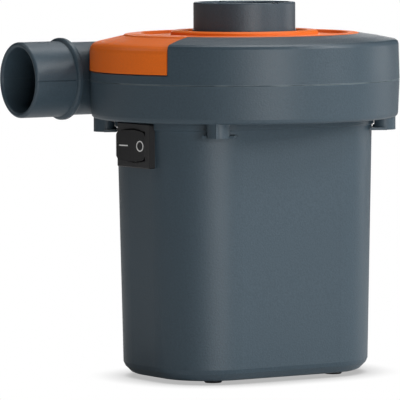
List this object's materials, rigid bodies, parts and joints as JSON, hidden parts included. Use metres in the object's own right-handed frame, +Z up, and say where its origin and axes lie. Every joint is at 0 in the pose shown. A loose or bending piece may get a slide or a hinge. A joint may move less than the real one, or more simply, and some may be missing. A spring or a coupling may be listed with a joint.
{
  "type": "electric air mattress pump",
  "caption": "Round fan housing on a tapered rounded-rectangle motor body; side nozzle out, short inlet port on top, orange trim cover, black rocker switch under the housing.",
  "frame": {"origin": "on the floor plane, the undersides of the feet, under the fan and motor axis", "axes": "+Z up along the fan axis out of the inlet port, -X the way the nozzle points and the face with the switch, -Y the plain long side"},
  "size_m": [0.1206, 0.1058, 0.1274],
  "materials": {
    "grey_plastic": "fine texture",
    "orange_plastic": "fine texture",
    "black_plastic": "satin",
    "rubber": "matte",
    "steel": "satin",
    "laminate": "matte",
    "copper": "satin",
    "brass": "satin",
    "bronze": "matte",
    "ferrite": "matte",
    "carbon": "matte",
    "fibre": "matte",
    "board": "satin",
    "wire_cover": "satin",
    "white_print": "printed"
  },
  "bodies": {
    "casing": {"body_housing": "grey_plastic", "feet": "rubber", "lower_fan_housing": "grey_plastic", "upper_fan_housing": "grey_plastic", "trim_cover": "orange_plastic", "housing_screws": "steel", "body_screws": "steel", "motor_can": "steel", "motor_magnets": "ferrite", "motor_end_cap": "black_plastic", "motor_terminals": "brass", "motor_screws": "steel", "motor_pad": "rubber", "front_bush": "bronze", "rear_bush": "bronze", "brushes": "carbon", "brush_arms": "brass", "switch_housing": "black_plastic", "switch_terminals": "brass", "rectifier_board": "board", "board_parts": "black_plastic", "inner_wires": "wire_cover", "cord_grommet": "rubber"},
    "rotor": {"shaft": "steel", "armature_core": "laminate", "windings": "copper", "commutator": "copper", "thrust_washers": "fibre", "impeller": "black_plastic", "impeller_nut": "steel"},
    "rocker": {"rocker": "black_plastic", "rocker_plunger": "steel", "rocker_spring": "steel"},
    "contact": {"contact_arm": "brass"}
  },
  "joints": [
    {"name": "rotor_spin", "type": "hinge", "parent": "casing", "child": "rotor", "pos_m": [0, 0, 0.06], "axis": [0, 0, 1], "continuous": true},
    {"name": "rocker_tilt", "type": "hinge", "parent": "casing", "child": "rocker", "pos_m": [-0.0434, 0, 0.0799], "axis": [0, 0, -1], "range_deg": [0, 23]},
    {"name": "contact_tilt", "type": "hinge", "parent": "casing", "child": "contact", "pos_m": [-0.0339, 0, 0.0799], "axis": [0, 0, 1], "range_deg": [0, 13.8]}
  ],
  "couplings": [
    {"joint": "contact_tilt", "follows": "rocker_tilt", "ratio": 0.6}
  ]
}
